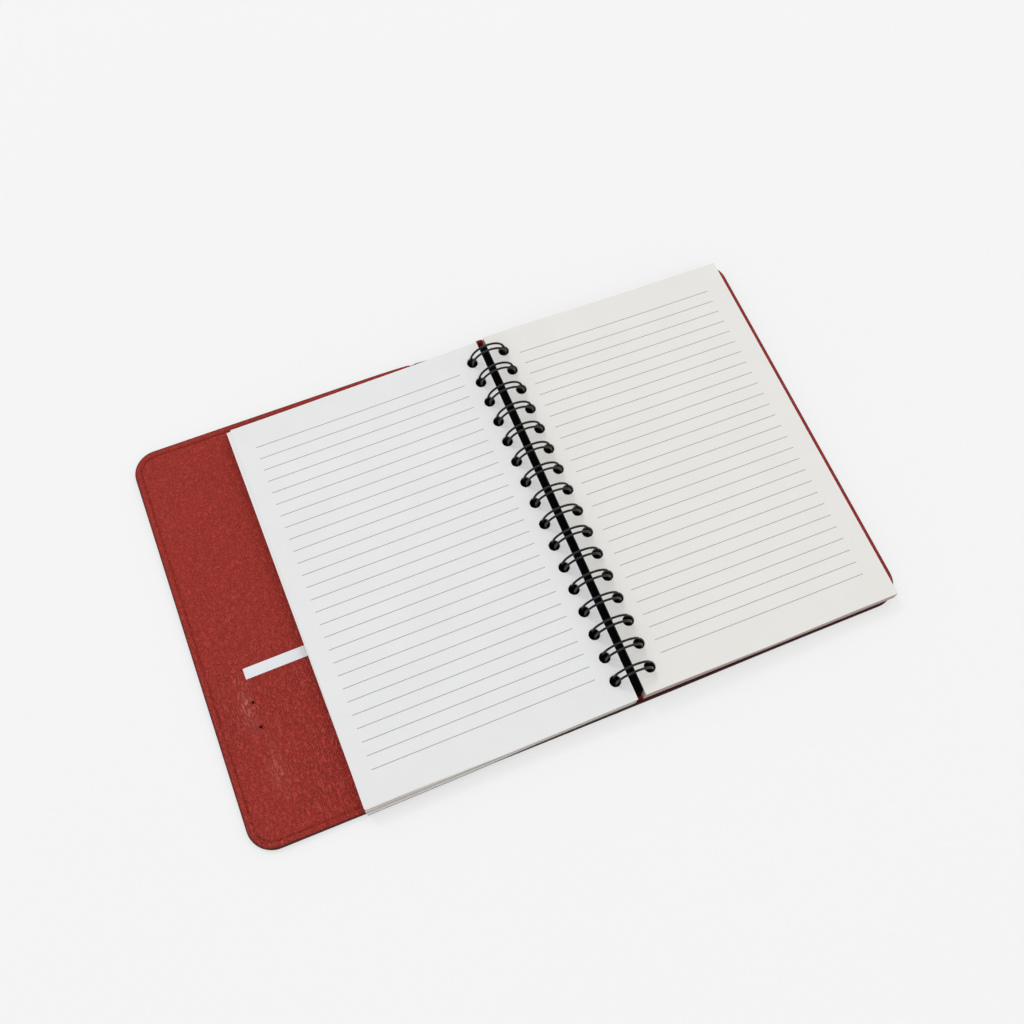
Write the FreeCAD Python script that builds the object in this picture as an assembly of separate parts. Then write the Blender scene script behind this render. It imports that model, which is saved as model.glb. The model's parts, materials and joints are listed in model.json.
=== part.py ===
import FreeCAD, Part
import math
import os

os.makedirs("parts", exist_ok=True)

V = FreeCAD.Vector
UP = V(0, 0, 1)
ALONG = V(0, 1, 0)

# Cover, lying open on its outer side: X across both panels, Y from bottom edge to top edge.
# The corner radii are given bottom first. The back panel's top edge falls a little towards its outer end.
COVER_X = 346.4
COVER_Y = 220.8
FRONT_CORNERS = (13.0, 13.0)
BACK_CORNERS = (14.0, 10.5)
TOP_FALL = 2.4
LEATHER = 1.0
BOARD = 1.4
TURN_IN = 0.6
COVER_Z = LEATHER + BOARD + TURN_IN
RIM = 1.2
HEM = 3.5
HEM_GROOVE = 0.4

# Gutter between the two page stacks, measured from the middle of the cover, and the sheets' height.
GUTTER_X = 24.2
PAGE_MID_Y = -2.55
PAGE_Y = 213.9

# Fold lines of the cover: the back panel meets the spine at one, the front panel at the other.
FOLD_TO_GUTTER = 12.3
SPINE_FOLD_X = GUTTER_X - FOLD_TO_GUTTER
SPINE_WIDTH = 26.0
FRONT_FOLD_X = SPINE_FOLD_X - SPINE_WIDTH
FOLD_HALF = 2.6
FOLD_GAP = 0.15

# White tab on the front panel's inner face from its lower corner, and the two pin holes below it.
TAB_X = 21.8 - COVER_X / 2
TAB_Y = -27.5
TAB_LENGTH = 54.0
TAB_WIDTH = 5.75
TAB_TURN = 0.6
TAB_T = 0.35
PIN_X = 21.45 - COVER_X / 2
PIN_YS = (-39.75, -52.55)
PIN_D = 1.5

# Twin-loop wire.
PITCH = 12.7
LOOP_MARGIN = 10.0
LOOPS = int((PAGE_Y - 2 * LOOP_MARGIN) / PITCH) + 1
TWIN = 3.2
WIRE_R = 0.6
RING_R = 9.7
TIP_R = TWIN / 2
BASE_ANGLE = -78.5
TIP_ANGLE = -107.5
BASE_DROP = -RING_R * math.sin(math.radians(BASE_ANGLE)) + TIP_R * math.cos(math.radians(BASE_ANGLE))
RING_X = GUTTER_X + 0.8
RING_Z = COVER_Z + WIRE_R + BASE_DROP

# Page stacks: height profiles run from the gutter past the outer edge. Each stack has slid a little
# along the wire, so its shift moves its bottom and top edges but not its holes. The left sheets are
# fanned: the pile's outer corners, bottom and top, lie a little off those of its top sheet (out, up).
CARD = 0.5
LEFT_LIFT = TAB_T + 0.35
HOLE_D = 6.0
WIRE_CLEAR = 0.45
PAGE_WIDTH = 141.4
PROFILE_END = PAGE_WIDTH + 3.0
LEFT_EDGE = -2.0
LEFT_SHIFT = -0.45
LEFT_FAN = ((-1.1, -1.2), (1.5, -1.2))
LEFT_PROFILE = ((0.0, 12.2), (20.0, 11.2), (60.0, 9.9), (100.0, 9.4), (PROFILE_END, 8.9))
LEFT_HOLE_X = -8.6
RIGHT_EDGE = 2.3
RIGHT_SHIFT = 0.05
RIGHT_FAN = ((0.0, 0.0), (0.0, 0.0))
RIGHT_PROFILE = ((0.0, 13.5), (20.0, 13.2), (60.0, 11.4), (100.0, 10.1), (PROFILE_END, 9.4))
RIGHT_HOLE_X = 9.7

# Black elastic strap that runs through the loops and fills the gutter.
STRAP_GAP = 0.25
STRAP_X0 = GUTTER_X + LEFT_EDGE + STRAP_GAP
STRAP_X1 = GUTTER_X + RIGHT_EDGE - STRAP_GAP
STRAP_Z = 11.2
STRAP_T = 1.2
STRAP_SHORT_LOW = 2.3
STRAP_SHORT_HIGH = 1.1
STRAP_BOTTOM = PAGE_MID_Y - PAGE_Y / 2 + STRAP_SHORT_LOW
STRAP_TOP = PAGE_MID_Y + PAGE_Y / 2 - STRAP_SHORT_HIGH
STRAP_SLANT = 2.5


def box(x0, x1, y0, y1, z0, z1):
    return Part.makeBox(x1 - x0, y1 - y0, z1 - z0, V(x0, y0, z0))


def slab(x0, x1, inset, z0, z1, radii):
    """Slab of the cover's height, inset from its outer edges, with the given corner radii at its outer end."""
    half = COVER_Y / 2 - inset
    outer_x = x1 if radii == BACK_CORNERS else x0
    y0 = half
    y1 = half
    if radii == BACK_CORNERS:
        reach = COVER_X / 2 - SPINE_FOLD_X
        y0 -= TOP_FALL * (x0 - SPINE_FOLD_X) / reach
        y1 -= TOP_FALL * (x1 - SPINE_FOLD_X) / reach
    corners = [V(x0, -half, z0), V(x1, -half, z0), V(x1, y1, z0), V(x0, y0, z0)]
    body = Part.Face(Part.makePolygon(corners + corners[:1])).extrude(V(0, 0, z1 - z0))
    for i, radius in enumerate(radii):
        for edge in body.Edges:
            ends = [v.Point for v in edge.Vertexes]
            upright = abs(ends[0].z - ends[1].z) > 1e-6
            top_end = ends[0].y > 0
            if upright and abs(ends[0].x - outer_x) < 1e-6 and top_end == (i == 1):
                body = body.makeFillet(radius - inset, [edge])
                break
    return body


def panel_layer(thick0, thick1, inset, z0, z1, radii):
    x0 = thick0 + (inset if radii == FRONT_CORNERS else 0)
    x1 = thick1 - (inset if radii == BACK_CORNERS else 0)
    return slab(x0, x1, inset, z0, z1, radii)


def panel_skin(thick0, thick1, tongue0, tongue1, radii):
    """Leather of one panel: sole, upright rim and turned-in hem, with thin tongues to its fold lines."""
    skin = panel_layer(thick0, thick1, 0, 0, COVER_Z, radii)
    skin = skin.cut(panel_layer(thick0, thick1, RIM, LEATHER, LEATHER + BOARD, radii))
    skin = skin.cut(panel_layer(thick0, thick1, HEM, LEATHER + BOARD, COVER_Z, radii))
    half = COVER_Y / 2
    if tongue0 is not None:
        skin = skin.fuse(box(tongue0, thick0, -half, half, 0, LEATHER))
    if tongue1 is not None:
        skin = skin.fuse(box(thick1, tongue1, -half, half, 0, LEATHER))
    return skin.removeSplitter()


def panel_board(thick0, thick1, radii):
    return panel_layer(thick0, thick1, RIM, LEATHER, LEATHER + BOARD, radii)


def panel_lining(thick0, thick1, radii):
    return panel_layer(thick0, thick1, HEM + HEM_GROOVE, LEATHER + BOARD, COVER_Z, radii)


def white_tab():
    corner = V(TAB_X, TAB_Y, COVER_Z)
    tab = Part.makeBox(TAB_LENGTH, TAB_WIDTH, TAB_T, corner)
    tab.rotate(corner, UP, TAB_TURN)
    return tab


def pin_holed(shape):
    """Front-panel layer with the two pin holes through it."""
    for y in PIN_YS:
        shape = shape.cut(Part.makeCylinder(PIN_D / 2, COVER_Z, V(PIN_X, y, 0)))
    return shape


def loop_y(i):
    return PAGE_MID_Y + ((LOOPS - 1) / 2 - i) * PITCH


def ring_point(angle, y):
    a = math.radians(angle)
    return V(RING_X + RING_R * math.cos(a), y, RING_Z + RING_R * math.sin(a))


def swept(centre, normal, profile_at, degrees):
    """Round wire revolved about a centre."""
    tangent = normal.cross(profile_at - centre)
    disc = Part.Face(Part.Wire(Part.makeCircle(WIRE_R, profile_at, tangent)))
    return disc.revolve(centre, normal, degrees)


def finger_arc(y):
    start = ring_point(BASE_ANGLE, y)
    centre = V(RING_X, y, RING_Z)
    return swept(centre, V(0, -1, 0), start, 360 + TIP_ANGLE - BASE_ANGLE)


def half_tip(y):
    """Rounded end that joins the two wires of one finger."""
    a = math.radians(TIP_ANGLE)
    ahead = V(-math.sin(a), 0, math.cos(a))
    centre = ring_point(TIP_ANGLE, y)
    return swept(centre, ahead.cross(ALONG), centre - ALONG * TIP_R, -180)


def elbow(y, side):
    """Quarter bend from a finger into the straight run between two fingers."""
    a = math.radians(BASE_ANGLE)
    ahead = V(math.sin(a), 0, -math.cos(a))
    start = ring_point(BASE_ANGLE, y + side * TWIN / 2)
    centre = start + ALONG * (side * TIP_R)
    return swept(centre, ahead.cross(ALONG), start, 90 * side)


def straight_run(y0, y1):
    a = math.radians(BASE_ANGLE)
    x = RING_X + RING_R * math.cos(a) + TIP_R * math.sin(a)
    z = RING_Z - BASE_DROP
    return Part.makeCylinder(WIRE_R, y1 - y0, V(x, y0, z), ALONG)


def wire_binding():
    pieces = []
    bend = TWIN / 2 + TIP_R
    for i in range(LOOPS):
        y = loop_y(i)
        pieces.append(finger_arc(y - TWIN / 2))
        pieces.append(finger_arc(y + TWIN / 2))
        pieces.append(half_tip(y))
        pieces.append(elbow(y, -1))
        pieces.append(elbow(y, 1))
        if i > 0:
            pieces.append(straight_run(y + bend, loop_y(i - 1) - bend))
    first_end = loop_y(0) + bend
    last_end = loop_y(LOOPS - 1) - bend
    pieces.append(straight_run(first_end, first_end + 1.5))
    pieces.append(straight_run(last_end - 1.5, last_end))
    return pieces[0].multiFuse(pieces[1:])


def stack(edge, shift, fan, side, z0, profile, z1):
    """Block of sheets beside the gutter, with a flat top at z1 or a curved one through the profile."""
    y0 = PAGE_MID_Y + shift - PAGE_Y / 2
    y1 = y0 + PAGE_Y
    spare = 2 * max(abs(v) for corner in fan for v in corner)
    x_in = GUTTER_X + edge
    x_out = x_in + side * PAGE_WIDTH
    x_end = x_in + side * PROFILE_END
    y_start = y0 - spare
    if profile is None:
        outline = Part.makePolygon([V(x_in, y_start, z0), V(x_end, y_start, z0), V(x_end, y_start, z1),
                                    V(x_in, y_start, z1), V(x_in, y_start, z0)])
    else:
        points = [V(x_in + side * u, y_start, z) for u, z in profile]
        curve = Part.BSplineCurve()
        curve.interpolate(points)
        rest = Part.makePolygon([points[-1], V(x_end, y_start, z0), V(x_in, y_start, z0), points[0]])
        outline = Part.Wire([curve.toShape()] + rest.Edges)
    bar = Part.Face(outline).extrude(V(0, PAGE_Y + 2 * spare, 0))
    (low_out, low_up), (high_out, high_up) = fan
    plan = [V(x_in, y0, 0), V(x_out + side * low_out, y0 + low_up, 0),
            V(x_out + side * high_out, y1 + high_up, 0), V(x_in, y1, 0)]
    prism = Part.Face(Part.makePolygon(plan + plan[:1])).extrude(V(0, 0, 2 * RING_Z))
    return bar.common(prism)


def punched(block, hole_x):
    """Stack with a row of round holes, each widened along the wire's path down to the gutter."""
    width = TWIN + 2 * (WIRE_R + WIRE_CLEAR)
    outer = RING_R + WIRE_R + WIRE_CLEAR
    inner = RING_R - WIRE_R - WIRE_CLEAR
    cutters = []
    for i in range(LOOPS):
        y = loop_y(i)
        cutters.append(Part.makeCylinder(HOLE_D / 2, 2 * RING_Z, V(GUTTER_X + hole_x, y, 0)))
        start = V(RING_X, y - width / 2, RING_Z)
        tube = Part.makeCylinder(outer, width, start, ALONG)
        cutters.append(tube.cut(Part.makeCylinder(inner, width, start, ALONG)))
    return block.cut(cutters[0].multiFuse(cutters[1:]))


def left_block(z0, profile, z1):
    return punched(stack(LEFT_EDGE, LEFT_SHIFT, LEFT_FAN, -1, z0, profile, z1), LEFT_HOLE_X)


def right_block(z0, profile, z1):
    return punched(stack(RIGHT_EDGE, RIGHT_SHIFT, RIGHT_FAN, 1, z0, profile, z1), RIGHT_HOLE_X)


def gutter_strap():
    """Flat band along the gutter with a leg down to the cover at each end."""
    top = STRAP_Z
    low = STRAP_Z - STRAP_T
    y0 = STRAP_BOTTOM
    y1 = STRAP_TOP - STRAP_SLANT
    leg = STRAP_T
    side = [(y0, COVER_Z), (y0, top), (y1, top), (STRAP_TOP, COVER_Z), (STRAP_TOP - leg, COVER_Z),
            (y1 - leg, low), (y0 + leg, low), (y0 + leg, COVER_Z)]
    corners = [V(STRAP_X0, y, z) for y, z in side]
    face = Part.Face(Part.makePolygon(corners + corners[:1]))
    return face.extrude(V(STRAP_X1 - STRAP_X0, 0, 0))


front_panel = (-COVER_X / 2, FRONT_FOLD_X - FOLD_HALF)
spine_panel = (FRONT_FOLD_X + FOLD_HALF, SPINE_FOLD_X - FOLD_HALF)
back_panel = (SPINE_FOLD_X + FOLD_HALF, COVER_X / 2)
left_z = COVER_Z + LEFT_LIFT

nodes = {
    "front_skin": panel_skin(*front_panel, None, FRONT_FOLD_X - FOLD_GAP, FRONT_CORNERS),
    "front_board": pin_holed(panel_board(*front_panel, FRONT_CORNERS)),
    "front_lining": pin_holed(panel_lining(*front_panel, FRONT_CORNERS)),
    "white_tab": white_tab(),
    "spine_skin": panel_skin(*spine_panel, FRONT_FOLD_X + FOLD_GAP, SPINE_FOLD_X - FOLD_GAP, ()),
    "spine_board": panel_board(*spine_panel, ()),
    "spine_lining": panel_lining(*spine_panel, ()),
    "back_skin": panel_skin(*back_panel, SPINE_FOLD_X + FOLD_GAP, None, BACK_CORNERS),
    "back_board": panel_board(*back_panel, BACK_CORNERS),
    "back_lining": panel_lining(*back_panel, BACK_CORNERS),
    "gutter_strap": gutter_strap(),
    "wire_binding": wire_binding(),
    "front_card": left_block(left_z, None, left_z + CARD),
    "left_pages": left_block(left_z + CARD, LEFT_PROFILE, None),
    "back_card": right_block(COVER_Z, None, COVER_Z + CARD),
    "right_pages": right_block(COVER_Z + CARD, RIGHT_PROFILE, None),
}

for name, shape in nodes.items():
    shape.exportStep("parts/%s.step" % name)
    b = shape.BoundBox
    print("%s solids %d valid %s vol %.1f x %.2f %.2f y %.2f %.2f z %.2f %.2f" % (
        name, len(shape.Solids), shape.isValid(), shape.Volume,
        b.XMin, b.XMax, b.YMin, b.YMax, b.ZMin, b.ZMax))
print("ring", RING_X, RING_Z, "folds", SPINE_FOLD_X, FRONT_FOLD_X)
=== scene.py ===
import json
import math

import bpy
import numpy as np
from mathutils import Matrix, Vector, noise
from mathutils.geometry import delaunay_2d_cdt


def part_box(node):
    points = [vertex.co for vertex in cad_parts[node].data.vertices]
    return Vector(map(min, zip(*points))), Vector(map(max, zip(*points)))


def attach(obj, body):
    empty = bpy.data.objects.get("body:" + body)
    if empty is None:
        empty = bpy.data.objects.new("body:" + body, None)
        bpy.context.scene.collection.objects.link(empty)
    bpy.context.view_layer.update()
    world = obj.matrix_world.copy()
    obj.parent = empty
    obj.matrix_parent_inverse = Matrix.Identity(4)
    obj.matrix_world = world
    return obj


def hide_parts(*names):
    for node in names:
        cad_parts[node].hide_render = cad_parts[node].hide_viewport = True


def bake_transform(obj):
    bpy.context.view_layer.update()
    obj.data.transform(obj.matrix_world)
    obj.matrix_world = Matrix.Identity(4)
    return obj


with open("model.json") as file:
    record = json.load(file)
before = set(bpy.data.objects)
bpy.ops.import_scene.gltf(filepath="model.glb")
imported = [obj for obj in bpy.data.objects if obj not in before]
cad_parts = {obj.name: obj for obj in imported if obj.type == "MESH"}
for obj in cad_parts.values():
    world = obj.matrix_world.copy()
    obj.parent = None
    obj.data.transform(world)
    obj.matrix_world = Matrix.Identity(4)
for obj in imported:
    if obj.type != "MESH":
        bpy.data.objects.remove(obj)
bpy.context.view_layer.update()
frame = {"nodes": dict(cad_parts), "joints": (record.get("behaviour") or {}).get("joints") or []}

MM = 0.001
# Flat meshes: points closer than MERGE are one. A face lies in a pin hole or in a sheet's hole if its
# middle is nearer to the hole's middle than this share of the radius.
MERGE = 1e-7
PIN_INSIDE = 0.99
SHEET_INSIDE = 0.97
nodes = frame["nodes"]
joint_at = {j["name"]: Vector(j["pos_m"]) for j in frame["joints"]}

# Cover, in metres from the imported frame.
_, back_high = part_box("back_skin")
HALF_X = back_high.x
HALF_Y = back_high.y
COVER_T = back_high.z
# Corner radii of the two outer ends, bottom first, and the fall of the back panel's top edge.
FRONT_CORNERS = (13 * MM, 13 * MM)
BACK_CORNERS = (14 * MM, 10.5 * MM)
TOP_FALL = 2.4 * MM
# The top edge dips beside the gutter, and the bottom edge bows out a little below the spine.
SPINE_DIP = 1.9 * MM
DIP_X = 9 * MM
DIP_REACH = 24 * MM
LOW_BOW = 0.4 * MM
LOW_BOW_REACH = 75 * MM
# Turned-up end of the leather at the top of the gutter.
TIP_MIDDLE = Vector((24.7, 105.95, 6.2)) * MM
TIP_HALF = Vector((2.9, 1.35, 3.6)) * MM
FRONT_FOLD = joint_at["front_fold"]
SPINE_FOLD = joint_at["spine_fold"]
SPINE_MID = (FRONT_FOLD.x + SPINE_FOLD.x) / 2
FOLD_HALF = 2.6 * MM
FOLD_STEPS = (0, 0.5, 1.0, 1.5, 2.0, 2.6, 3.4)
FOLD_THIN = 0.42
PIN_HOLES = ((-151.75 * MM, -39.75 * MM), (-151.75 * MM, -52.55 * MM))
PIN_R = 0.75 * MM
PIN_DEPTH = 1.7 * MM
PIN_CLEAR = 1.7 * MM
PIN_SIDES = 10
# Spacing of the cover's mesh along its long edges, on the lining and on the underside.
EDGE_SPACING = 2.5 * MM
LINING_SPACING = 2.2 * MM
UNDER_SPACING = 9 * MM
# Distance of the first grid points from the outline, on the lining and on the underside.
LINING_CLEAR = 6.2 * MM
UNDER_CLEAR = 5 * MM
SIDE_STEPS = 80
CORNER_STEPS = 26
# Rubbed places beside and below the pin holes: middle, half sizes and strength.
RUBBED = (
    ((-155.0 * MM, -41.5 * MM), (5.0 * MM, 19 * MM), 1.0),
    ((-150.3 * MM, -75.0 * MM), (6.0 * MM, 20 * MM), 0.55))
# Where the painted dark shade spreads over the bottom hem: it fades in between the two values of each pair.
SHADED_HEM_X = (-118.5 * MM, -110.5 * MM)
SHADED_HEM_Y = (-108.7 * MM, -109.3 * MM)
SHADED_HEM_Z = (1.0 * MM, 2.0 * MM)

# Wire.
RING = joint_at["page_turn"]
RING_R = 9.7 * MM
WIRE_R = 0.6 * MM
PITCH = 12.7 * MM
LOOPS = 16
TWIN = 3.2 * MM
TIP_R = TWIN / 2
BASE_ANGLE = math.radians(-78.5)
TIP_ANGLE = math.radians(-107.5)
# Straight run beyond the first and the last loop, and the mesh's steps round a loop and round the wire.
WIRE_END = 1.5 * MM
RING_STEPS = 57
WIRE_SIDES = 10

# Pages.
wire_low, wire_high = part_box("wire_binding")
left_low, left_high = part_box("left_pages")
right_low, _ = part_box("right_pages")
GUTTER_X = 24.2 * MM
PAGE_MID_Y = (wire_low.y + wire_high.y) / 2
LEFT_EDGE = left_high.x
RIGHT_EDGE = right_low.x
PAGE_WIDTH = 141.4 * MM
PAGE_HALF_Y = 213.9 * MM / 2
LEFT_HOLE_X = GUTTER_X - 8.6 * MM
RIGHT_HOLE_X = GUTTER_X + 9.7 * MM
HOLE_R = 3.0 * MM
HOLE_SIDES = 24
LEAF_T = 0.1 * MM
LEAF_ROWS = 70
# Columns of a loose sheet: close together past the holes, and then further apart.
FINE_STEP = 1.6 * MM
FINE_END = 18 * MM
COARSE_STEP = 4 * MM
LAST_STEP = 2.4 * MM
HOLE_MARGIN = 0.6 * MM
# Which corners of a packed stack make its top at the bottom end, and its inner and outer sides.
END_REACH = 2.5 * MM
STACK_TOP_FROM = 7 * MM
SIDE_REACH = 3 * MM
TOP_DEGREE = 6
# A strip that sticks out below the stack: it comes out from STRIP_FROM on and reaches into the stack.
STRIP_INSET = 1.5 * MM
STRIP_STEPS = 48
STRIP_FROM = 40 * MM
STRIP_FADE = 60 * MM
STRIP_DEPTH = 2 * MM
# Height of each stack's top sheet above the block, and of the print above that sheet.
TOP_SHEET = 0.18 * MM
PRINT_RISE = 0.025 * MM
# A loose sheet lifts a little towards its outer edge and near the gutter's top end.
WAVE_SEED = 1.5
WAVE_FROM = 0.55
WAVE_LIFT = 0.08 * MM
TOP_LIFT = 0.22 * MM
TOP_LIFT_REACH = 30 * MM
TOP_LIFT_MIDDLE = 12 * MM
TOP_LIFT_HALF = 22 * MM
# Its two short edges bow out beyond BOW_FROM from the middle, and the bow ends at BOW_END from the gutter.
BOW_FROM = 93 * MM
BOW_END = 124 * MM
BOW_FADE = 62 * MM
RULES = 27
RULE_PITCH = 7 * MM
RULE_W = 0.36 * MM
RULE_RAISE = 0.1 * MM
RULE_STEPS = 60
# The deep shade under the punched holes: distances from the wire's axis and half its length.
HOLE_SHADE_NEAR = 3.5 * MM
HOLE_SHADE_FAR = 13.2 * MM
HOLE_SHADE_HALF_Y = 100 * MM
HOLE_SHADE_TOP = 12.0 * MM
HOLE_SHADE_FULL = 9.8 * MM
# Painted shade on the inner faces of the stacks in the gutter, apart from their two ends.
GUTTER_SHADE = 3 * MM
GUTTER_SHADE_SHORT = 2.5 * MM
LOW_END_Y = (-108.5 * MM, -109.5 * MM)

# Setting.
SKY = 0.77
# Share of even tone in what the camera sees of the table top.
EVEN_SHARE = 0.65
FLOOR_HALF = 3.0
FLOOR_DROP = 0.2 * MM
CAMERA_PLACE = Vector((-0.09594, -0.20922, 0.57412))
CAMERA_RIGHT = Vector((0.92585, -0.37740, 0.01932))
CAMERA_UP = Vector((0.34157, 0.85762, 0.38447))
LENS = 41.49
SENSOR = 36


# Small tools for meshes and materials.

def new_object(name, verts, faces, smooth=True):
    mesh = bpy.data.meshes.new(name)
    mesh.from_pydata([tuple(v) for v in verts], [], faces)
    mesh.update()
    obj = bpy.data.objects.new(name, mesh)
    bpy.context.scene.collection.objects.link(obj)
    if smooth:
        mesh.polygons.foreach_set("use_smooth", [True] * len(mesh.polygons))
    return obj


class Graph:
    """Node graph of one material."""

    def __init__(self, name):
        self.material = bpy.data.materials.new(name)
        self.material.use_nodes = True
        self.tree = self.material.node_tree
        self.shader = self.tree.nodes["Principled BSDF"]

    def add(self, kind, inputs=(), **settings):
        node = self.tree.nodes.new("ShaderNode" + kind)
        for key, value in settings.items():
            setattr(node, key, value)
        for key, value in dict(inputs).items():
            self.put(node.inputs[key], value)
        return node

    def put(self, socket, value):
        if isinstance(value, bpy.types.NodeSocket):
            self.tree.links.new(value, socket)
        else:
            socket.default_value = value

    def surface(self, **values):
        for key, value in values.items():
            self.put(self.shader.inputs[key.replace("_", " ")], value)

    def place(self, attribute=None):
        """Point of the surface at rest, in metres."""
        if attribute:
            return self.add("Attribute", attribute_name=attribute).outputs["Vector"]
        return self.add("TexCoord").outputs["Object"]

    def scaled(self, vector, factors):
        return self.add("VectorMath", {0: vector, 1: factors}, operation="MULTIPLY").outputs[0]

    def noise(self, vector, scale, detail=2.0, rough=0.5, distortion=0.0):
        inputs = {"Vector": vector, "Scale": scale, "Detail": detail, "Roughness": rough,
                  "Distortion": distortion}
        return self.add("TexNoise", inputs).outputs["Fac"]

    def cells(self, vector, scale, feature="F1"):
        node = self.add("TexVoronoi", {"Vector": vector, "Scale": scale}, feature=feature)
        return node.outputs["Distance"]

    def math(self, operation, a, b=0.0, c=None):
        inputs = {0: a, 1: b}
        if c is not None:
            inputs[2] = c
        return self.add("Math", inputs, operation=operation).outputs[0]

    def span(self, value, low, high, to_low=0.0, to_high=1.0):
        inputs = {"Value": value, "From Min": low, "From Max": high, "To Min": to_low, "To Max": to_high}
        return self.add("MapRange", inputs).outputs["Result"]

    def offset(self, vector, middle):
        return self.add("VectorMath", {0: vector, 1: middle}, operation="SUBTRACT").outputs[0]

    def length(self, vector):
        return self.add("VectorMath", {0: vector}, operation="LENGTH").outputs["Value"]

    def aside(self, vector, name, middle):
        """Distance from the middle along one axis."""
        return self.math("ABSOLUTE", self.math("SUBTRACT", self.axis(vector, name), middle))

    def axis(self, vector, name):
        return self.add("SeparateXYZ", {0: vector}).outputs[name]

    def mix(self, factor, a, b):
        node = self.add("Mix", data_type="RGBA")
        self.put(node.inputs[0], factor)
        self.put(node.inputs[6], a)
        self.put(node.inputs[7], b)
        return node.outputs[2]

    def bump(self, height, distance, strength=1.0, normal=None):
        node = self.add("Bump", {"Height": height, "Distance": distance, "Strength": strength})
        if normal is not None:
            self.put(node.inputs["Normal"], normal)
        return node.outputs["Normal"]


def rgb(r, g, b):
    return (r, g, b, 1.0)


# Materials.

def under_holes(g, at):
    """1 where the deep shade below the punched holes lies, beside the wire."""
    aside = g.aside(at, "X", RING.x)
    along = g.aside(at, "Y", PAGE_MID_Y)
    below = g.math("LESS_THAN", aside, HOLE_SHADE_FAR)
    near = g.math("MULTIPLY", below, g.math("GREATER_THAN", aside, HOLE_SHADE_NEAR))
    return g.math("MULTIPLY", near, g.math("LESS_THAN", along, HOLE_SHADE_HALF_Y))


def rubbed_share(g, at, crease):
    """How far the leather is rubbed pale at each of the rubbed places, least down in the creases."""
    share = None
    for (x, y), (half_x, half_y), strength in RUBBED:
        away = g.scaled(g.offset(at, (x, y, COVER_T)), (1 / half_x, 1 / half_y, 0.0))
        here = g.span(g.length(away), 1.0, 0.15, 0.0, strength)
        share = here if share is None else g.math("MAXIMUM", share, here)
    return g.math("MULTIPLY", share, g.span(crease, 0.1, 0.9, 0.12, 0.6))


def leather_material():
    """Red leather: small pebbles, upright creases in the lower half, painted shade on the edges and under
    the holes, pale rubbed places.
    """
    g = Graph("red_leather")
    at = g.place("at_rest")
    y = g.axis(at, "Y")
    z = g.axis(at, "Z")
    drift = g.add("TexNoise", {"Vector": at, "Scale": 300.0, "Detail": 1.0}).outputs["Color"]
    drift = g.scaled(drift, (2 * MM, 2 * MM, 2 * MM))
    bent = g.add("VectorMath", {0: at, 1: drift}, operation="ADD").outputs[0]
    pebble = g.cells(g.scaled(bent, (1.0, 0.80, 1.0)), 780.0, "DISTANCE_TO_EDGE")
    pebble = g.span(pebble, 0.02, 0.30)
    grain = g.span(g.noise(g.scaled(bent, (1.0, 0.70, 1.0)), 1150.0, 1.0, 0.5), 0.42, 0.58)
    crease = g.span(g.noise(g.scaled(bent, (1.0, 0.24, 1.0)), 1200.0, 1.0, 0.5, 0.4), 0.43, 0.57)
    low = g.span(y, 0.05, -0.05)
    patch = g.noise(at, 30.0, 2.0)
    wrinkled = g.math("MULTIPLY", low, g.span(patch, 0.38, 0.6, 0.4, 1.0))
    height = g.math("ADD", g.math("MULTIPLY", pebble, 0.4), g.math("MULTIPLY", grain, 0.45))
    height = g.math("ADD", height, g.math("MULTIPLY", crease, g.span(wrinkled, 0.0, 1.0, 0.1, 0.85)))
    tone = g.span(height, 0.1, 1.4)
    colour = g.mix(tone, rgb(0.350, 0.025, 0.017), rgb(0.500, 0.056, 0.041))
    broad = g.noise(at, 14.0, 2.0)
    colour = g.mix(g.span(broad, 0.35, 0.7, 0.0, 0.15), colour, rgb(0.36, 0.026, 0.018))
    colour = g.mix(rubbed_share(g, at, crease), colour, rgb(0.56, 0.150, 0.115))
    # Painted shade on the edge round the outer side of the hem, in the hem's groove and over the bottom
    # hem.
    edge = g.add("Attribute", attribute_name="edge_shade").outputs["Fac"]
    shaded_low_hem = g.math("MULTIPLY", g.span(y, *SHADED_HEM_Y), g.span(g.axis(at, "X"), *SHADED_HEM_X))
    edge = g.math("MAXIMUM", edge, g.math("MULTIPLY", shaded_low_hem, g.span(z, *SHADED_HEM_Z)))
    colour = g.mix(edge, colour, rgb(0.050, 0.0065, 0.0065))
    # Painted shade down under the punched holes.
    colour = g.mix(under_holes(g, at), colour, rgb(0.008, 0.006, 0.006))
    g.surface(Base_Color=colour, Roughness=g.span(height, 0.3, 1.5, 0.66, 0.45), IOR=1.3,
              Normal=g.bump(height, 0.0008, 1.0))
    return g.material


def paper_material(name, colour, shade):
    """Uncoated paper with a faint mottle."""
    g = Graph(name)
    at = g.place()
    mottle = g.noise(at, 55.0, 3.0)
    fibre = g.noise(at, 2600.0, 2.0, 0.7)
    tint = g.mix(g.span(mottle, 0.35, 0.65), rgb(*colour), rgb(*shade))
    g.surface(Base_Color=tint, Roughness=0.85, IOR=1.4, Normal=g.bump(fibre, 0.00003, 0.6))
    return g.material


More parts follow.
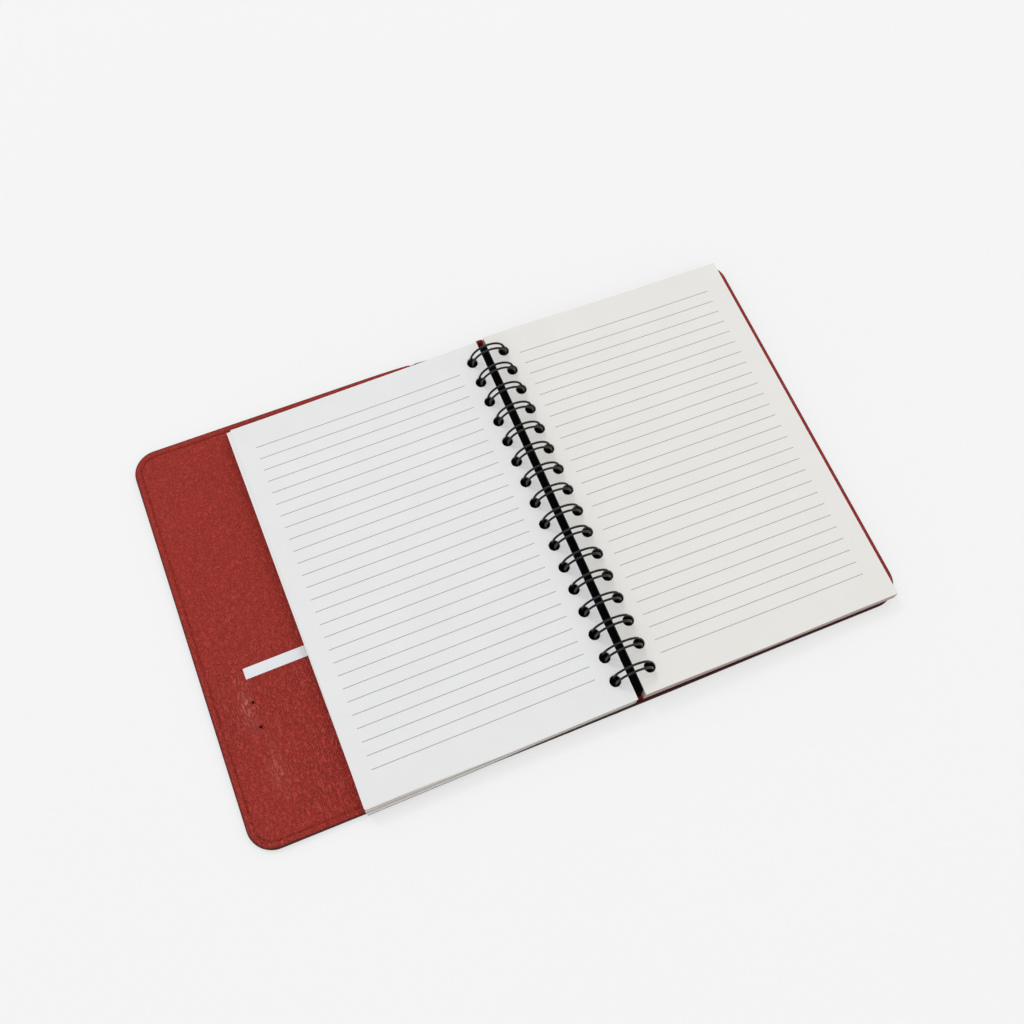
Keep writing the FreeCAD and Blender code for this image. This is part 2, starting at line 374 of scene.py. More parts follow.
def stack_material(name, colour, shade, sheet):
    """Cut edges of many sheets with layer lines: the plain sheet on top, painted shade on the sides, in the
    gutter and down in the holes.
    """
    g = Graph(name)
    at = g.place()
    up = g.span(g.axis(g.add("TexCoord").outputs["Normal"], "Z"), 0.5, 0.8)
    low_end = g.span(g.axis(at, "Y"), *LOW_END_Y)
    edges = g.noise(g.scaled(at, (18.0, 18.0, 5200.0)), 1.0, 3.0, 0.75)
    steps = g.noise(g.scaled(at, (18.0, 2600.0, 18.0)), 1.0, 3.0, 0.75)
    layered = g.mix(up, edges, steps)
    bundles = g.noise(g.scaled(at, (5.0, 5.0, 420.0)), 1.0, 1.0, 0.4)
    # The sides take darker colours than the same paper on top: painted shade, with the layer lines.
    tint = g.mix(g.span(layered, 0.3, 0.7), rgb(*shade), rgb(*colour))
    tint = g.mix(g.span(bundles, 0.36, 0.64, 0.45, 0.0), tint, rgb(*shade))
    tint = g.mix(g.math("MULTIPLY", up, g.math("SUBTRACT", 1.0, low_end)), tint, rgb(*sheet))
    # Painted shade on the stacks' inner faces in the gutter.
    beside = g.math("LESS_THAN", g.aside(at, "X", GUTTER_X), GUTTER_SHADE)
    inner = g.math("MULTIPLY", beside, g.math("SUBTRACT", 1.0, up))
    between = g.math("LESS_THAN", g.aside(at, "Y", PAGE_MID_Y), PAGE_HALF_Y - GUTTER_SHADE_SHORT)
    tint = g.mix(g.math("MULTIPLY", inner, between), tint, rgb(0.03, 0.03, 0.03))
    # Painted shade down in the punched holes, darker towards the bottom.
    depth = g.span(g.axis(at, "Z"), HOLE_SHADE_TOP, HOLE_SHADE_FULL)
    sunk = g.math("MULTIPLY", under_holes(g, at), depth)
    tint = g.mix(sunk, tint, rgb(0.012, 0.012, 0.013))
    g.surface(Base_Color=tint, Roughness=0.9, IOR=1.4, Normal=g.bump(edges, 0.00012, 0.8))
    return g.material


def ink_material():
    """Thin grey printing ink, a little uneven."""
    g = Graph("grey_ruling")
    wear = g.noise(g.place(), 900.0, 2.0)
    g.surface(Base_Color=g.mix(g.span(wear, 0.3, 0.7), rgb(0.30, 0.31, 0.30), rgb(0.38, 0.39, 0.38)),
              Roughness=0.85)
    return g.material


def wire_material():
    """Steel wire with a black plastic coat."""
    g = Graph("black_coated_wire")
    wear = g.noise(g.place(), 700.0, 3.0)
    g.surface(Base_Color=g.mix(g.span(wear, 0.4, 0.75), rgb(0.006, 0.006, 0.007), rgb(0.016, 0.016, 0.018)),
              Roughness=g.span(wear, 0.3, 0.7, 0.28, 0.42), IOR=1.34, Normal=g.bump(wear, 0.00003, 0.4),
              Coat_Weight=0.06, Coat_Roughness=0.15)
    return g.material


def strap_material():
    """Black woven elastic with ribs along its length."""
    g = Graph("black_elastic")
    at = g.place()
    ribs = g.math("SINE", g.math("MULTIPLY", g.axis(at, "X"), 2 * math.pi / 0.0006))
    weft = g.math("SINE", g.math("MULTIPLY", g.axis(at, "Y"), 2 * math.pi / 0.0009))
    height = g.math("ADD", ribs, g.math("MULTIPLY", weft, 0.5))
    tone = g.span(g.math("ADD", height, g.noise(at, 900.0)), -1.0, 2.2)
    colour = g.mix(tone, rgb(0.0008, 0.0008, 0.0010), rgb(0.0035, 0.0035, 0.0040))
    g.surface(Base_Color=colour, Roughness=0.9, IOR=1.12, Normal=g.bump(height, 0.0001, 0.8))
    return g.material


def card_material():
    """Grey card whose plies show at its edges."""
    g = Graph("grey_card")
    at = g.place()
    plies = g.noise(g.scaled(at, (30.0, 30.0, 6000.0)), 1.0, 3.0, 0.7)
    tint = g.mix(g.span(plies, 0.3, 0.7), rgb(0.20, 0.175, 0.15), rgb(0.36, 0.33, 0.29))
    # Painted shade under the punched holes.
    g.surface(Base_Color=g.mix(under_holes(g, at), tint, rgb(0.010, 0.010, 0.010)),
              Roughness=0.85, Normal=g.bump(plies, 0.0001, 0.6))
    return g.material


def ribbon_material():
    """White ribbon: a fine weave with a brighter selvedge."""
    g = Graph("white_ribbon")
    at = g.place()
    warp = g.math("SINE", g.math("MULTIPLY", g.axis(at, "Y"), 2 * math.pi / 0.00045))
    weft = g.math("SINE", g.math("MULTIPLY", g.axis(at, "X"), 2 * math.pi / 0.0006))
    weave = g.math("MULTIPLY", warp, weft)
    tone = g.span(g.math("ADD", weave, g.noise(at, 260.0, 3.0)), -0.6, 1.6)
    g.surface(Base_Color=g.mix(tone, rgb(0.74, 0.765, 0.80), rgb(0.84, 0.855, 0.875)), Roughness=0.8,
              Normal=g.bump(weave, 0.00004, 0.6))
    return g.material


def floor_material():
    """Pale table top: matt, so it takes the shadow, with a share of even pale tone for the camera."""
    g = Graph("pale_table")
    mottle = g.noise(g.place(), 3.0, 2.0)
    g.surface(Base_Color=g.mix(g.span(mottle, 0.3, 0.7), rgb(0.90, 0.90, 0.90), rgb(0.91, 0.91, 0.91)),
              Roughness=0.9)
    rays = g.add("LightPath").outputs
    seen = g.math("MAXIMUM", rays["Is Glossy Ray"], rays["Is Transmission Ray"])
    seen = g.math("MAXIMUM", rays["Is Camera Ray"], seen)
    even = g.add("Emission", {"Color": rgb(0.913, 0.913, 0.913), "Strength": 1.0}).outputs[0]
    mixed = g.add("MixShader", {0: g.math("MULTIPLY", seen, EVEN_SHARE), 1: g.shader.outputs[0], 2: even})
    g.tree.links.new(mixed.outputs[0], g.tree.nodes["Material Output"].inputs["Surface"])
    return g.material


# Cover.

def fold_columns():
    """Upright columns of the cover mesh: close together at both folds, and one in the spine's middle."""
    columns = {SPINE_MID}
    for fold in (FRONT_FOLD.x, SPINE_FOLD.x):
        for step in FOLD_STEPS:
            columns.add(fold + step * MM)
            columns.add(fold - step * MM)
    return sorted(columns)


def side_columns(low, high, spacing):
    """Evenly spaced columns between low and high, with the fold columns in their place."""
    close = fold_columns()
    even = np.linspace(low, high, int((high - low) / spacing) + 1)
    keep = [x for x in even if min(abs(x - c) for c in close) > 0.4 * spacing]
    return sorted(keep + close)


def low_y(x):
    """The cover's bottom edge in the plan, which bows out a little below the spine."""
    return -HALF_Y - LOW_BOW * math.exp(-(x / LOW_BOW_REACH) ** 4)


def top_y(x):
    """The cover's top edge in the plan: a dip beside the gutter, and a fall over the back panel."""
    dip = SPINE_DIP * math.exp(-((x - DIP_X) / DIP_REACH) ** 2)
    return HALF_Y - dip - TOP_FALL * max(0.0, x - SPINE_FOLD.x) / (HALF_X - SPINE_FOLD.x)


def corner_radius(x, y):
    radii = FRONT_CORNERS if x < 0 else BACK_CORNERS
    return radii[1] if y > 0 else radii[0]


def depth_inside(x, y):
    """Distance of a place from the cover's outline, positive inside."""
    dx = HALF_X - abs(x)
    dy = (top_y(x) if y > 0 else -low_y(x)) - abs(y)
    r = corner_radius(x, y)
    if dx < r and dy < r:
        return r - math.hypot(r - dx, r - dy)
    return min(dx, dy)


def outline_points():
    """(point, inward direction) round the cover, anticlockwise from the bottom left."""
    points = []
    low_left, top_left = FRONT_CORNERS
    low_right, top_right = BACK_CORNERS
    turns = np.linspace(0, math.pi / 2, CORNER_STEPS)[1:-1]

    def corner(cx, cy, start, r):
        for t in turns:
            d = Vector((math.cos(start + t), math.sin(start + t)))
            points.append((Vector((cx, cy)) + d * r, -d))

    right_top_y = top_y(HALF_X - top_right)
    for x in side_columns(-HALF_X + low_left, HALF_X - low_right, EDGE_SPACING):
        points.append((Vector((x, low_y(x))), Vector((0, 1))))
    corner(HALF_X - low_right, low_right - HALF_Y, -math.pi / 2, low_right)
    for y in np.linspace(low_right - HALF_Y, right_top_y - top_right, SIDE_STEPS):
        points.append((Vector((HALF_X, y)), Vector((-1, 0))))
    corner(HALF_X - top_right, right_top_y - top_right, 0, top_right)
    for x in reversed(side_columns(-HALF_X + top_left, HALF_X - top_right, EDGE_SPACING)):
        points.append((Vector((x, top_y(x))), Vector((0, -1))))
    corner(-HALF_X + top_left, HALF_Y - top_left, math.pi / 2, top_left)
    for y in np.linspace(HALF_Y - top_left, low_left - HALF_Y, SIDE_STEPS):
        points.append((Vector((-HALF_X, y)), Vector((1, 0))))
    corner(-HALF_X + low_left, low_left - HALF_Y, math.pi, low_left)
    return points


# Section of the edge from the underside round to the lining: inset and height in millimetres, and
# the share of painted dark shade on the edge and in the hem's groove.
EDGE_SECTION = (
    (2.0, 0.0, 0.0), (1.0, 0.02, 0.3), (0.45, 0.14, 0.9), (0.12, 0.42, 1.0), (0.0, 0.9, 1.0),
    (0.0, 1.9, 1.0), (0.1, 2.4, 1.0), (0.4, 2.82, 0.8), (1.0, 3.04, 0.1), (1.9, 3.12, 0.0),
    (2.7, 3.08, 0.0), (3.2, 2.92, 0.0), (3.45, 2.6, 0.2), (3.65, 2.5, 0.2), (3.9, 2.62, 0.1),
    (4.3, 2.9, 0.0), (5.0, 3.0, 0.0))
BEAD_FROM = 0.4
BEAD_TO = 3.3
EDGE_END = EDGE_SECTION[-1][0]


def pleats(p):
    """Raised gathers where the hem turns round a corner, strongest at the bottom left."""
    r = corner_radius(p.x, p.y)
    corner = Vector((math.copysign(HALF_X - r, p.x), math.copysign(HALF_Y - r, p.y)))
    if abs(p.x) < abs(corner.x) or abs(p.y) < abs(corner.y):
        return 0.0
    angle = math.atan2(abs(p.y - corner.y), abs(p.x - corner.x))
    strength = 1.0 if p.x < 0 and p.y < 0 else 0.3
    window = math.sin(2 * angle) ** 2
    return strength * window * math.sin(angle * 27 + 0.6)


def hem_section(point, inward):
    """Points of the edge section at one place of the outline, with the hem's handmade unevenness."""
    where = Vector((point.x, point.y, 0))
    wobble = noise.noise(where * 160) * 0.16 + noise.noise(where * 45) * 0.12
    swell = noise.noise(where * 210 + Vector((3, 1, 0))) * 0.12
    fold = pleats(point)
    result = []
    for inset, height, _ in EDGE_SECTION:
        z = height
        d = inset
        if BEAD_FROM <= inset <= BEAD_TO and height > 2.5:
            z += swell + 0.42 * fold
            d += wobble * 0.5
        elif inset > BEAD_TO and height > 2.4:
            z += swell * 0.3 + 0.12 * fold * (EDGE_END - inset)
            d += wobble * (EDGE_END - inset) / (EDGE_END - BEAD_TO)
        flat = point + inward * d * MM
        result.append(Vector((flat.x, flat.y, z * MM)))
    return result


def waves(x, y):
    """Slow swell of the lining, and a soft ridge beside the pin holes."""
    fade = max(0.0, min(1.0, (depth_inside(x, y) - EDGE_END * MM) / (6 * MM)))
    slow = noise.noise(Vector((x * 28, y * 28, 0.3))) * 0.12
    lower = max(0.0, min(1.0, (0.02 - y) / 0.08))
    crease = noise.noise(Vector((x * 230, y * 85, 1.7))) * 0.07 * lower
    ridge_x = -0.15565 + 0.0012 * math.sin((y + 0.02) * 160)
    ridge = math.exp(-((x - ridge_x) / 0.0016) ** 2) * math.exp(-((y + 0.040) / 0.012) ** 2) * 0.28
    return (slow + crease + ridge) * fade * MM


def thinned(point):
    """Height scale of the cover at a point: the leather alone crosses the two folds."""
    d = min(abs(point.x - FRONT_FOLD.x), abs(point.x - SPINE_FOLD.x)) / FOLD_HALF
    if d >= 1:
        return 1.0
    return 1 - FOLD_THIN * (0.5 + 0.5 * math.cos(math.pi * d))


def middle_of(points):
    return sum(points, Vector((0, 0))) / len(points)


def fill(loop, holes, columns, rows, clear):
    """Triangulated face inside a loop with a grid of points, outside the holes."""
    centres = [middle_of(h) for h in holes]
    points = [Vector((p.x, p.y)) for p in loop]
    edges = [(i, (i + 1) % len(loop)) for i in range(len(loop))]
    for hole in holes:
        start = len(points)
        points += hole
        edges += [(start + i, start + (i + 1) % len(hole)) for i in range(len(hole))]
    fixed = len(points)
    for x in columns:
        for y in rows:
            place = Vector((x, y))
            near = any((place - c).length < PIN_CLEAR for c in centres)
            if depth_inside(x, y) > clear and not near:
                points.append(place)
    verts, _, faces = delaunay_2d_cdt(points, edges, [], 1, MERGE)[:3]
    if len(verts) != len(points):
        raise ValueError("the fill moved or merged points")
    kept = []
    for face in faces:
        middle = middle_of([verts[i] for i in face])
        if not any((middle - c).length < PIN_R * PIN_INSIDE for c in centres):
            kept.append(face)
    return verts, kept, fixed


def cover_mesh():
    """Whole cover as one closed mesh: (vertices, faces, share of painted edge shade of each vertex)."""
    outline = outline_points()
    sections = [hem_section(p, d) for p, d in outline]
    count = len(sections)
    steps = len(EDGE_SECTION)
    verts = [sections[i][k] for k in range(steps) for i in range(count)]
    shade_share = [EDGE_SECTION[k][2] for k in range(steps) for i in range(count)]
    faces = []
    for k in range(steps - 1):
        for i in range(count):
            j = (i + 1) % count
            faces.append((k * count + i, k * count + j, (k + 1) * count + j, (k + 1) * count + i))

    def patch(loop_start, columns, rows, clear, holes, height, flip):
        loop = verts[loop_start:loop_start + count]
        flat, tris, fixed = fill(loop, holes, columns, rows, clear)
        index = [loop_start + i for i in range(count)]
        for i in range(count, len(flat)):
            index.append(len(verts))
            verts.append(Vector((flat[i].x, flat[i].y, height(flat[i].x, flat[i].y))))
        for t in tris:
            ids = [index[i] for i in t]
            faces.append(tuple(reversed(ids)) if flip else tuple(ids))
        return index[count:fixed]

    side = HALF_X - EDGE_END * MM
    top = HALF_Y - EDGE_END * MM
    turns = [2 * math.pi * i / PIN_SIDES for i in range(PIN_SIDES)]
    holes = []
    for x, y in PIN_HOLES:
        holes.append([Vector((x + PIN_R * math.cos(t), y + PIN_R * math.sin(t))) for t in turns])
    columns = side_columns(-side, side, LINING_SPACING)
    rows = np.arange(-top, top, LINING_SPACING)
    rims = patch((steps - 1) * count, columns, rows, LINING_CLEAR, holes,
                 lambda x, y: COVER_T + waves(x, y), False)
    columns = side_columns(-side, side, UNDER_SPACING)
    rows = np.arange(-top, top, UNDER_SPACING)
    patch(0, columns, rows, UNDER_CLEAR, [], lambda x, y: 0.0, True)
    for n in range(len(holes)):
        rim = rims[n * PIN_SIDES:(n + 1) * PIN_SIDES]
        low = []
        for i in rim:
            low.append(len(verts))
            verts.append(verts[i] - Vector((0, 0, PIN_DEPTH)))
        for i in range(PIN_SIDES):
            j = (i + 1) % PIN_SIDES
            faces.append((rim[j], rim[i], low[i], low[j]))
        faces.append(tuple(low))
    for v in verts:
        v.z *= thinned(v)
    return verts, faces, shade_share + [0.0] * (len(verts) - len(shade_share))


def part_of_cover(name, verts, faces, shade_share, left):
    """One side of the cover, cut in the middle of the spine."""
    mine = []
    for f in faces:
        x = sum(verts[i].x for i in f) / len(f)
        if (x < SPINE_MID) == left:
            mine.append(f)
    used = sorted({i for f in mine for i in f})
    new = {old: k for k, old in enumerate(used)}
    obj = new_object(name, [verts[i] for i in used], [tuple(new[i] for i in f) for f in mine])
    return mark_leather(obj, [shade_share[i] for i in used])


def mark_leather(obj, shade_share):
    """Keep each vertex's place at rest and its share of painted edge shade for the leather's material."""
    rest = obj.data.attributes.new("at_rest", "FLOAT_VECTOR", "POINT")
    rest.data.foreach_set("vector", [c for v in obj.data.vertices for c in v.co])
    edge = obj.data.attributes.new("edge_shade", "FLOAT", "POINT")
    edge.data.foreach_set("value", shade_share)
    return obj


def make_tip(material):
    """Turned-up end of the leather at the top of the gutter, as a small rounded lump."""
    around = 20
    levels = 11
    unevenness = 0.13
    verts = []
    faces = []
    for k in range(levels):
        lift = math.pi * (k + 0.5) / levels - math.pi / 2
        for i in range(around):
            t = 2 * math.pi * i / around
            d = Vector((math.cos(lift) * math.cos(t), math.cos(lift) * math.sin(t), math.sin(lift)))
            swell = 1 + unevenness * noise.noise(d * 1.7)
            verts.append(TIP_MIDDLE + Vector(a * b for a, b in zip(d, TIP_HALF)) * swell)
    for k in range(levels - 1):
        for i in range(around):
            j = (i + 1) % around
            faces.append((k * around + i, k * around + j, (k + 1) * around + j, (k + 1) * around + i))
    faces.append(tuple(reversed(range(around))))
    faces.append(tuple((levels - 1) * around + i for i in range(around)))
    tip = mark_leather(new_object("gutter_tip", verts, faces), [0.0] * len(verts))
    tip.data.materials.append(material)
    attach(tip, "back_half")


def make_cover(material):
    verts, faces, shade_share = cover_mesh()
    left = part_of_cover("cover_front", verts, faces, shade_share, True)
    right = part_of_cover("cover_back", verts, faces, shade_share, False)
    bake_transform(left)
    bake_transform(right)
    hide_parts("front_skin", "front_board", "front_lining",
                "spine_skin", "spine_board", "spine_lining")
    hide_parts("back_skin", "back_board", "back_lining")
    for obj in (left, right):
        obj.data.materials.append(material)


# Wire.

def loop_y(i):
    return PAGE_MID_Y + ((LOOPS - 1) / 2 - i) * PITCH


def on_ring(angle, y):
    return Vector((RING.x + RING_R * math.cos(angle), y, RING.z + RING_R * math.sin(angle)))


def bend(start, ahead, aside, turn, steps):
    """Round bend of radius TIP_R that leaves start along ahead and turns towards aside."""
    centre = start + aside * TIP_R
    result = []
    for k in range(1, steps + 1):
        t = turn * k / steps
        result.append(centre - aside * TIP_R * math.cos(t) + ahead * TIP_R * math.sin(t))
    return result


def wire_path():
    """One continuous line from the bottom end of the binding to its top end."""
    down = Vector((math.sin(BASE_ANGLE), 0, -math.cos(BASE_ANGLE)))
    ahead = Vector((-math.sin(TIP_ANGLE), 0, math.cos(TIP_ANGLE)))
    along = Vector((0, 1, 0))
    sweep = np.linspace(BASE_ANGLE, TIP_ANGLE + 2 * math.pi, RING_STEPS)
    path = []
    for i in reversed(range(LOOPS)):
        y = loop_y(i)
        first = on_ring(BASE_ANGLE, y - TWIN / 2)
        run_start = first + down * TIP_R - along * TIP_R
        if i == LOOPS - 1:
            path.append(run_start - along * WIRE_END)
        path.append(run_start)
        path += bend(run_start, along, -down, math.pi / 2, 6)
        path += [on_ring(a, y - TWIN / 2) for a in sweep[1:]]
        path += bend(path[-1], ahead, along, math.pi, 12)
        path += [on_ring(a, y + TWIN / 2) for a in sweep[::-1][1:]]
        path += bend(path[-1], down, along, math.pi / 2, 6)
    path.append(path[-1] + along * WIRE_END)
    return path


def tube(name, path, radius, sides):
    """Closed round tube along a path."""
    verts = []
    faces = []
    tangents = []
    for k in range(len(path)):
        before = path[max(k - 1, 0)]
        after = path[min(k + 1, len(path) - 1)]
        tangents.append((after - before).normalized())
    normal = Vector((1, 0, 0)).cross(tangents[0]).normalized()
    for k, point in enumerate(path):
        if k > 0:
            normal = tangents[k - 1].rotation_difference(tangents[k]) @ normal
            normal = (normal - tangents[k] * normal.dot(tangents[k])).normalized()
        side = tangents[k].cross(normal)
        for s in range(sides):
            t = 2 * math.pi * s / sides
            verts.append(point + (normal * math.cos(t) + side * math.sin(t)) * radius)
    for k in range(len(path) - 1):
        for s in range(sides):
            n = (s + 1) % sides
            faces.append((k * sides + s, k * sides + n, (k + 1) * sides + n, (k + 1) * sides + s))
    faces.append(tuple(reversed(range(sides))))
    last = (len(path) - 1) * sides
    faces.append(tuple(last + s for s in range(sides)))
    return new_object(name, verts, faces)


def make_wire(material):
    wire = tube("wire", wire_path(), WIRE_R, WIRE_SIDES)
    wire.data.materials.append(material)
    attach(wire, "back_half")
    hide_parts("wire_binding")


# Pages.

class Page:
    """One side's sheets: where a point u from the gutter edge and y along it lies on the top sheet."""

    def __init__(self, node, edge, side, hole_x, body, shift, reach):
        self.edge = edge
        self.side = side
        self.hole_x = hole_x
        self.body = body
        self.middle = PAGE_MID_Y + shift
        self.reach = reach
        block = nodes[node]
        corners = [block.matrix_world @ v.co for v in block.data.vertices]
        self.curve = self.stack_top(corners)
        self.low_edge = self.bottom_end(corners)

    def stack_top(self, corners):
        """Polynomial through the stack's top at its bottom end: height against u, both in metres."""
        low = min(c.y for c in corners)
        seen = {}
        for c in corners:
            if c.y < low + END_REACH and c.z > STACK_TOP_FROM:
                seen[round(abs(c.x - self.edge), 5)] = c.z
        us = sorted(seen)
        return np.polyfit(us, [seen[u] for u in us], min(TOP_DEGREE, len(us) - 1))

    def bottom_end(self, corners):
        """Straight line through the stack's edge at its bottom end: y against u, both in metres."""
        inner = [c for c in corners if abs(c.x - self.edge) < SIDE_REACH]
        outer = [c for c in corners if abs(c.x - self.edge) > PAGE_WIDTH - SIDE_REACH]
        return np.polyfit([0.0, PAGE_WIDTH], [min(c.y for c in inner), min(c.y for c in outer)], 1)

    def spread(self, u, y):
        """How far the loose sheet's two short edges bow out beyond the block."""
        bottom, top = self.reach
        margin = max(0.0, (abs(y - self.middle) - BOW_FROM) / (PAGE_HALF_Y - BOW_FROM))
        t = max(0.0, min(1.0, (BOW_END - u) / BOW_FADE))
        return (top if y > self.middle else -bottom) * margin * t * t * (3 - 2 * t)

    def height(self, u):
        return float(np.polyval(self.curve, u))

    def point(self, u, y, above, skew=0.0):
        """Point on a loose sheet that lies above the block by a small amount."""
        far = max(0.0, u / PAGE_WIDTH - WAVE_FROM) / (1 - WAVE_FROM)
        wave = noise.noise(Vector((u * 16, y * 12, WAVE_SEED))) + 0.4
        lift = max(0.0, wave) * WAVE_LIFT * far ** 2
        near_top = max(0.0, (y - self.middle - PAGE_HALF_Y + TOP_LIFT_REACH) / TOP_LIFT_REACH)
        near_gutter = math.exp(-((u - TOP_LIFT_MIDDLE) / TOP_LIFT_HALF) ** 2)
        lift += TOP_LIFT * near_top ** 2 * near_gutter
        out = u + skew * (y - self.middle) * u / PAGE_WIDTH
        along = y - skew * u + self.spread(u, y)
        return Vector((self.edge + self.side * out, along, self.height(out) + above + lift))


def leaf(name, page, above, shrink, material, skew=0.0):
    """Thin loose sheet with punched holes, lying on the stack, skewed where the sheets are fanned."""
    width = PAGE_WIDTH - shrink
    y0 = page.middle - PAGE_HALF_Y + shrink / 2
    y1 = page.middle + PAGE_HALF_Y - shrink / 2
    us = [0.0]
    while us[-1] < width - LAST_STEP:
        us.append(us[-1] + (FINE_STEP if us[-1] < FINE_END else COARSE_STEP))
    us[-1] = width
    ys = list(np.linspace(y0, y1, LEAF_ROWS))
    border = [(u, y0) for u in us] + [(width, y) for y in ys[1:]]
    border += [(u, y1) for u in us[-2::-1]] + [(0.0, y) for y in ys[-2:0:-1]]
    points = [Vector(p) for p in border]
    edges = [(i, (i + 1) % len(border)) for i in range(len(border))]
    hole_u = abs(page.hole_x - page.edge)
    centres = [Vector((hole_u, loop_y(i))) for i in range(LOOPS)]
    for c in centres:
        start = len(points)
        for k in range(HOLE_SIDES):
            t = 2 * math.pi * k / HOLE_SIDES
            points.append(c + Vector((math.cos(t), math.sin(t))) * HOLE_R)
        edges += [(start + k, start + (k + 1) % HOLE_SIDES) for k in range(HOLE_SIDES)]
    for u in us[1:-1]:
        for y in ys[1:-1]:
            p = Vector((u, y))
            if min((p - c).length for c in centres) > HOLE_R + HOLE_MARGIN:
                points.append(p)
    flat, _, tris = delaunay_2d_cdt(points, edges, [], 1, MERGE)[:3]
    top = [page.point(p.x, p.y, above + LEAF_T, skew) for p in flat]
    low = [v - Vector((0, 0, LEAF_T)) for v in top]
    count = len(top)
    keep = []
    for t in tris:
        middle = middle_of([flat[i] for i in t])
        if min((middle - c).length for c in centres) > HOLE_R * SHEET_INSIDE:
            keep.append(tuple(t))
    faces = []
    sides = {}
    for t in keep:
        up = t if page.side > 0 else t[::-1]
        faces.append(up)
        faces.append(tuple(count + i for i in reversed(up)))
        for a, b in zip(up, up[1:] + up[:1]):
            if sides.pop((b, a), None) is None:
                sides[(a, b)] = True
    for a, b in sides:
        faces.append((b, a, count + a, count + b))
    obj = new_object(name, top + low, faces, smooth=False)
    obj.data.materials.append(material)
    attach(obj, page.body)
    return obj


def low_strip(name, page, share, base, thick, out, material):
    """Bottom edge of one sheet down in the stack that sticks out, most towards the outer side."""
    verts = []
    faces = []
    us = np.linspace(STRIP_INSET, PAGE_WIDTH - STRIP_INSET, STRIP_STEPS)
    for u in us:
        t = max(0.0, min(1.0, (u - STRIP_FROM) / STRIP_FADE))
        y = float(np.polyval(page.low_edge, u))
        z = base + share * (page.height(u) - base)
        far = y - out * (0.3 + 0.7 * t * t * (3 - 2 * t))
        near = y + STRIP_DEPTH
        for py, pz in ((far, z), (far, z + thick), (near, z + thick), (near, z)):
            verts.append(Vector((page.edge + page.side * u, py, pz)))
    for k in range(len(us) - 1):
        for i in range(4):
            j = (i + 1) % 4
            quad = (4 * k + i, 4 * k + j, 4 * k + 4 + j, 4 * k + 4 + i)
            faces.append(quad if page.side < 0 else quad[::-1])
    last = 4 * (len(us) - 1)
    ends = [(3, 2, 1, 0), (last, last + 1, last + 2, last + 3)]
    faces += ends if page.side < 0 else [e[::-1] for e in ends]
    obj = new_object(name, verts, faces, smooth=False)
    obj.data.materials.append(material)
    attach(obj, page.body)


def ruling(name, page, u0, u1, material):
    """Printed lines of one page, as thin strips on the top sheet."""
    verts = []
    faces = []
    above = TOP_SHEET + LEAF_T + PRINT_RISE
    us = np.linspace(u0, u1, RULE_STEPS)
    for i in range(RULES):
        y = PAGE_MID_Y + RULE_RAISE + ((RULES - 1) / 2 - i) * RULE_PITCH
        start = len(verts)
        for u in us:
            for off in (-RULE_W / 2, RULE_W / 2):
                verts.append(page.point(u, y + off, above))
        for k in range(len(us) - 1):
            a = start + 2 * k
            quad = (a, a + 2, a + 3, a + 1)
            faces.append(quad if page.side > 0 else quad[::-1])
    obj = new_object(name, verts, faces)
    obj.data.materials.append(material)
    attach(obj, page.body)


def make_pages(ink, card):
    left = Page("left_pages", LEFT_EDGE, -1, LEFT_HOLE_X, "turning_pages",
                -0.45 * MM, (0.85 * MM, 0.5 * MM))
    right = Page("right_pages", RIGHT_EDGE, 1, RIGHT_HOLE_X, "back_half",
                 0.05 * MM, (0.55 * MM, 0.0))
    cool = (0.783, 0.785, 0.787)
    warm = (0.788, 0.772, 0.738)
    cool_sheet = paper_material("cool_paper", cool, (0.800, 0.802, 0.804))
    warm_sheet = paper_material("warm_paper", warm, (0.800, 0.786, 0.754))
    # Each stack's side colours hold painted shade; the right stack's pink is a painted red reflection of
    # the leather.
    paint("left_pages", stack_material("left_sheets", (0.80, 0.76, 0.71), (0.27, 0.235, 0.19), cool))
    paint("right_pages", stack_material("right_sheets", (0.64, 0.50, 0.465), (0.33, 0.25, 0.235), warm))
    leaf("left_sheet_under", left, 0.07 * MM, 0.9 * MM, cool_sheet, 0.0045)
    leaf("left_sheet_top", left, TOP_SHEET, 0.9 * MM, cool_sheet)
    low_strip("left_sheet_low", left, 0.36, left_low.z, 0.25 * MM, 0.9 * MM, cool_sheet)
    low_strip("left_card_low", left, 0.0, left_low.z - 0.45 * MM, 0.4 * MM, 0.8 * MM, card)
    leaf("right_sheet_under", right, 0.06 * MM, 0.35 * MM, warm_sheet)
    leaf("right_sheet_top", right, TOP_SHEET, 0.0, warm_sheet)
    ruling("left_ruling", left, 15.5 * MM, 131.0 * MM, ink)
    ruling("right_ruling", right, 15.4 * MM, 129.8 * MM, ink)


def paint(node, material):
    nodes[node].data.materials.clear()
    nodes[node].data.materials.append(material)


# Setting.

def make_floor():
    far = FLOOR_HALF
    corners = [(-far, -far, 0), (far, -far, 0), (far, far, 0), (-far, far, 0)]
    floor = new_object("table", corners, [(0, 1, 2, 3)], smooth=False)
    floor.data.materials.append(floor_material())
    floor.location.z = -FLOOR_DROP


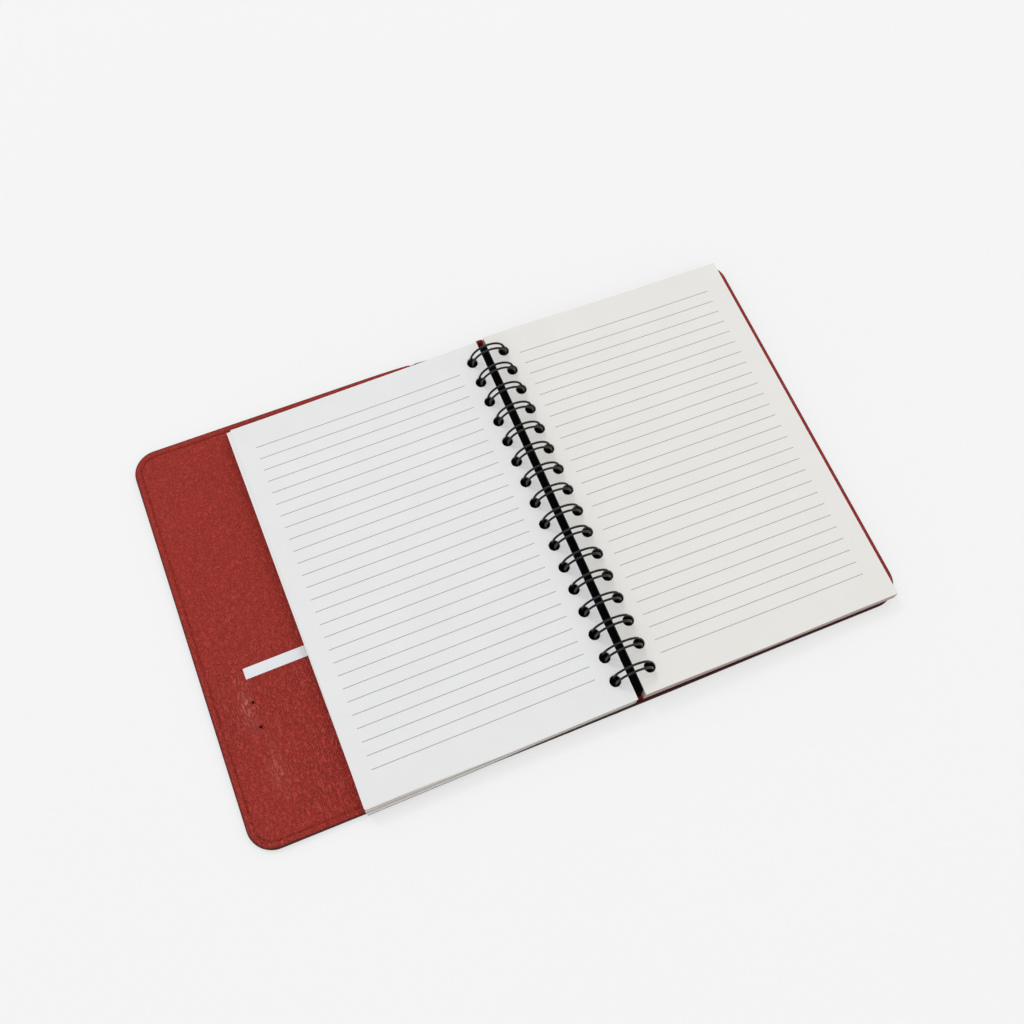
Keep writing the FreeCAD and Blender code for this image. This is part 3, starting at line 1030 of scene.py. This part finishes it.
def area_lamp(name, place, size, power):
    """Round lamp that points at the middle of the table."""
    data = bpy.data.lights.new(name, "AREA")
    data.shape = "DISK"
    data.size = size
    data.energy = power
    lamp = bpy.data.objects.new(name, data)
    bpy.context.scene.collection.objects.link(lamp)
    lamp.location = place
    lamp.rotation_euler = (-Vector(place)).to_track_quat("-Z", "Y").to_euler()


def make_world():
    """Soft sky for the object, and a plain pale backdrop for the camera."""
    world = bpy.data.worlds.new("studio")
    bpy.context.scene.world = world
    world.use_nodes = True
    tree = world.node_tree
    sky = tree.nodes["Background"]
    sky.inputs["Color"].default_value = rgb(1, 1, 1)
    sky.inputs["Strength"].default_value = SKY
    seen = tree.nodes.new("ShaderNodeBackground")
    seen.inputs["Color"].default_value = rgb(0.905, 0.905, 0.905)
    seen.inputs["Strength"].default_value = 1.0
    rays = tree.nodes.new("ShaderNodeLightPath")
    mixed = tree.nodes.new("ShaderNodeMixShader")
    tree.links.new(rays.outputs["Is Camera Ray"], mixed.inputs[0])
    tree.links.new(sky.outputs[0], mixed.inputs[1])
    tree.links.new(seen.outputs[0], mixed.inputs[2])
    tree.links.new(mixed.outputs[0], tree.nodes["World Output"].inputs["Surface"])


def make_camera():
    """Camera at the photograph's viewing angle."""
    back = CAMERA_RIGHT.cross(CAMERA_UP).normalized()
    up = back.cross(CAMERA_RIGHT).normalized()
    data = bpy.data.cameras.new("camera")
    data.lens = LENS
    data.sensor_width = SENSOR
    data.clip_start = 0.01
    camera = bpy.data.objects.new("camera", data)
    bpy.context.scene.collection.objects.link(camera)
    turn = Matrix((CAMERA_RIGHT, up, back)).transposed().to_4x4()
    camera.matrix_world = Matrix.Translation(CAMERA_PLACE) @ turn
    bpy.context.scene.camera = camera


leather = leather_material()
make_cover(leather)
make_tip(leather)
make_wire(wire_material())
card = card_material()
make_pages(ink_material(), card)
paint("gutter_strap", strap_material())
paint("front_card", card)
paint("back_card", card)
paint("white_tab", ribbon_material())
make_floor()
area_lamp("key", place=(-1.6, 3.0, 4.6), size=1.6, power=61)
area_lamp("fill", place=(2.4, 0.2, 4.3), size=2.4, power=24)
make_world()
make_camera()
bpy.context.scene.view_settings.view_transform = "Standard"
